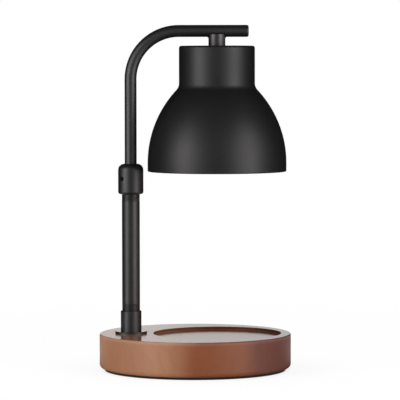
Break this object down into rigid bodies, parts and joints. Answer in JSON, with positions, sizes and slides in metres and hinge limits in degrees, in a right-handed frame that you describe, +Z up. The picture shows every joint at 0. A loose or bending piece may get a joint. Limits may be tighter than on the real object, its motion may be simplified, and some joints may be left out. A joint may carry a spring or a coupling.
{
  "type": "candle warmer lamp",
  "caption": "Round wooden base with a candle recess, telescopic swivelling post and bent arm carrying a domed metal shade with a reflector bulb.",
  "frame": {"origin": "centre of the underside of the round base, on the surface that the lamp stands on", "axes": "+X runs from the post along the arm to the shade and the arm's closed end, +Z is up"},
  "size_m": [0.16, 0.16, 0.2878],
  "materials": {
    "stained_wood": "satin walnut stain",
    "black_coat": "satin powder coat",
    "pad_foam": "matte",
    "grommet_rubber": "matte",
    "zinc_steel": "zinc plated",
    "blackened_steel": "black oxide",
    "nylon": "natural nylon",
    "black_plastic": "fine matte",
    "white_ceramic": "unglazed steatite",
    "contact_brass": "bright",
    "pin_metal": "nickel plated",
    "reflector_glass": "metallised glass",
    "clear_glass": "clear"
  },
  "bodies": {
    "base": {"base_disc": "stained_wood", "base_pad": "pad_foam", "cord_grommet": "grommet_rubber", "foot_flange": "black_coat", "foot_socket": "black_coat", "post_nipple": "zinc_steel", "nipple_washer": "zinc_steel", "nipple_nut": "zinc_steel", "lower_tube": "black_coat", "height_collar": "black_coat"},
    "clamp": {"clamp_screw": "blackened_steel"},
    "slider": {"guide_bush": "nylon"},
    "arm": {"bush_clips": "blackened_steel", "upper_tube": "black_coat", "arm_end_plug": "black_plastic", "shade_stem": "black_coat", "stem_nipple": "zinc_steel", "shade": "black_coat", "shade_washer": "zinc_steel", "shade_nut": "zinc_steel", "holder_bracket": "zinc_steel", "holder_screws": "zinc_steel", "lamp_holder": "white_ceramic", "holder_contacts": "contact_brass"},
    "bulb": {"bulb_base": "white_ceramic", "bulb_pins": "pin_metal", "bulb_reflector": "reflector_glass", "bulb_capsule": "clear_glass", "bulb_lens": "clear_glass"}
  },
  "joints": [
    {"name": "arm_height", "type": "slide", "parent": "base", "child": "slider", "axis": [0, 0, 1], "range_m": [-0.06, 0.04]},
    {"name": "arm_swing", "type": "hinge", "parent": "slider", "child": "arm", "pos_m": [-0.0536, 0, 0.16005], "axis": [0, 0, 1], "range_deg": [-180, 180]},
    {"name": "clamp_screw_turn", "type": "hinge", "parent": "base", "child": "clamp", "pos_m": [-0.0536, 0, 0.16005], "axis": [-0.6947, -0.7193, 0], "range_deg": [0, 720]},
    {"name": "bulb_twist", "type": "hinge", "parent": "arm", "child": "bulb", "pos_m": [0.0184, 0, 0.2378], "axis": [0, 0, -1], "range_deg": [0, 22]}
  ]
}
